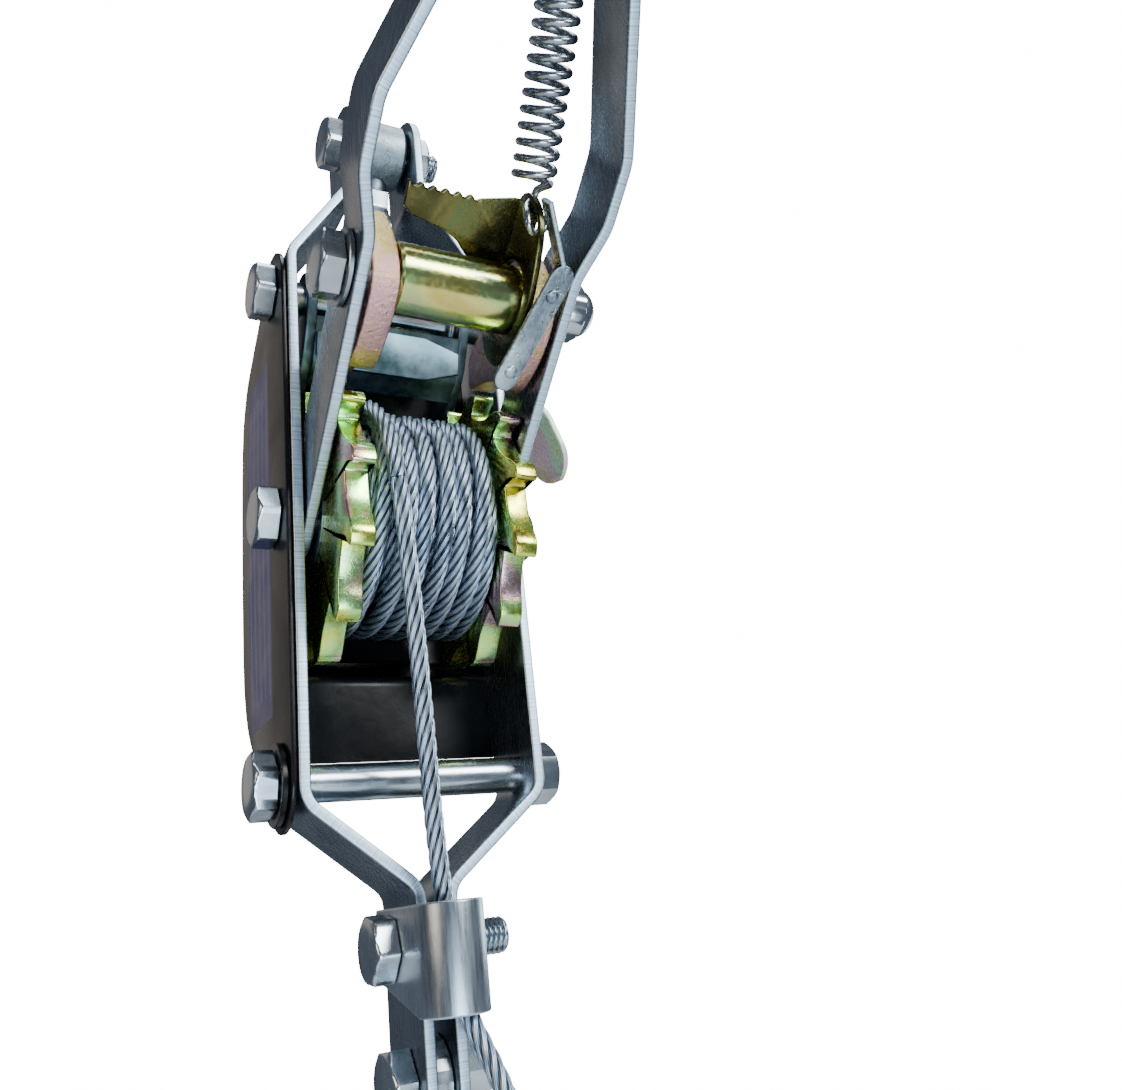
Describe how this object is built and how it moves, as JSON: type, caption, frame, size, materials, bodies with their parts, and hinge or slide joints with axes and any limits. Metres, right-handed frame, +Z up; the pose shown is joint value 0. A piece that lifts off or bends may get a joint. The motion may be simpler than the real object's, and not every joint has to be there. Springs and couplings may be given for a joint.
{
  "type": "come along winch",
  "caption": "Hand ratchet puller: strap frame, toothed rope drum, forked lever with paired pawls, snatch block and two latched hooks.",
  "frame": {"origin": "centre of the anchor bolt that the puller hangs from", "axes": "+X along the drum axle towards the nut side, -Y the front where the rope leaves the drum, +Z up the frame towards the anchor bolt"},
  "size_m": [0.1164, 0.3995, 0.7204],
  "materials": {
    "zinc_strap": "bright zinc plated flat bar with sheared edges",
    "zinc_fastener": "zinc plated bolt or nut",
    "yellow_zinc": "yellow passivated zinc plate with green and pink tints",
    "black_guard": "black gloss paint on sheet steel",
    "wire_rope": "bright stranded steel wire rope",
    "spring_wire": "drawn spring wire",
    "grip_rubber": "moulded black rubber",
    "forged_zinc": "zinc plated forging",
    "sheave_steel": "turned steel",
    "ferrule_alloy": "pressed aluminium sleeve"
  },
  "bodies": {
    "frame": {"frame_strap_left": "zinc_strap", "frame_strap_right": "zinc_strap", "guard": "black_guard", "rope_guide": "zinc_strap", "pawl_bolt": "zinc_fastener", "pawl_nut": "zinc_fastener", "axle_bolt": "zinc_fastener", "axle_nut": "zinc_fastener", "cross_washer": "black_guard", "cross_bolt": "zinc_fastener", "cross_nut": "zinc_fastener", "anchor_bolt": "zinc_fastener", "anchor_nut": "zinc_fastener", "guide_bolt": "zinc_fastener", "dead_end_bolt": "zinc_fastener", "dead_end_nut": "zinc_fastener", "pawl_spring": "spring_wire", "rope_run": "wire_rope", "rope_eye": "wire_rope", "rope_ferrule": "ferrule_alloy"},
    "drum": {"drum_core": "zinc_strap", "gear_left": "yellow_zinc", "gear_right": "yellow_zinc", "rope_winding": "wire_rope"},
    "handle": {"handle_strap_left": "zinc_strap", "handle_strap_right": "zinc_strap", "handle_bolt": "zinc_fastener", "handle_nut": "zinc_fastener", "handle_washer": "zinc_strap", "handle_rivet_1": "zinc_fastener", "handle_rivet_2": "zinc_fastener", "spring_pin": "zinc_fastener", "handle_grip": "grip_rubber", "pull_spring": "spring_wire"},
    "drive_pawl": {"pawl_tube": "yellow_zinc", "drive_pawl_left": "yellow_zinc", "drive_pawl_right": "yellow_zinc", "thumb_plate": "yellow_zinc", "outer_strip": "zinc_strap"},
    "holding_pawl": {"holding_pawl": "zinc_strap", "release_lever": "yellow_zinc"},
    "anchor_hook": {"anchor_hook": "forged_zinc"},
    "anchor_latch": {"anchor_latch": "zinc_strap"},
    "block": {"block_cheek_left": "zinc_strap", "block_cheek_right": "zinc_strap", "sheave_bolt": "zinc_fastener", "sheave_nut": "zinc_fastener", "yoke_bolt": "zinc_fastener", "yoke_nut": "zinc_fastener"},
    "sheave": {"sheave": "sheave_steel"},
    "block_yoke": {"block_yoke": "forged_zinc"},
    "block_hook": {"block_hook": "forged_zinc"},
    "block_latch": {"block_latch": "zinc_strap"}
  },
  "joints": [
    {"name": "handle_swing", "type": "hinge", "parent": "frame", "child": "handle", "pos_m": [0, 0, -0.165], "axis": [1, 0, 0], "range_deg": [0, 60]},
    {"name": "drum_spin", "type": "hinge", "parent": "frame", "child": "drum", "pos_m": [0, 0, -0.165], "axis": [1, 0, 0], "range_deg": [0, 1080]},
    {"name": "block_travel", "type": "slide", "parent": "frame", "child": "block", "axis": [0, 0, -1], "range_m": [0, 0.3847], "deforming": ["rope_run"]},
    {"name": "sheave_spin", "type": "hinge", "parent": "block", "child": "sheave", "pos_m": [0, -0.014, -0.452], "axis": [1, 0, 0], "range_deg": [0, 1003]},
    {"name": "drive_pawl_swing", "type": "hinge", "parent": "handle", "child": "drive_pawl", "pos_m": [0, -0.06741, -0.10843], "axis": [1, 0, 0], "range_deg": [-19, 14], "deforming": ["pull_spring"]},
    {"name": "holding_pawl_swing", "type": "hinge", "parent": "frame", "child": "holding_pawl", "pos_m": [0, 0, -0.076], "axis": [1, 0, 0], "range_deg": [-12, 12]},
    {"name": "anchor_hook_swing", "type": "hinge", "parent": "frame", "child": "anchor_hook", "pos_m": [0, 0, 0], "axis": [1, 0, 0], "range_deg": [0, 159]},
    {"name": "anchor_latch_swing", "type": "hinge", "parent": "anchor_hook", "child": "anchor_latch", "pos_m": [0, -0.0003, -0.02154], "axis": [1, 0, 0], "range_deg": [0, 30], "stiffness_Nm_per_rad": 0.02, "springref_deg": -34.38},
    {"name": "block_yoke_swing", "type": "hinge", "parent": "block", "child": "block_yoke", "pos_m": [0, -0.014, -0.499], "axis": [1, 0, 0], "range_deg": [-40, 40]},
    {"name": "block_hook_swivel", "type": "hinge", "parent": "block_yoke", "child": "block_hook", "pos_m": [0, -0.014, -0.499], "axis": [0, 0, 1], "continuous": true},
    {"name": "block_latch_swing", "type": "hinge", "parent": "block_hook", "child": "block_latch", "pos_m": [0, -0.022, -0.532], "axis": [1, 0, 0], "range_deg": [0, 30], "stiffness_Nm_per_rad": 0.02, "springref_deg": -34.38}
  ],
  "couplings": [
    {"joint": "block_travel", "follows": "drum_spin", "m_per_rad": 0.0204},
    {"joint": "sheave_spin", "follows": "drum_spin", "ratio": 0.9273}
  ]
}
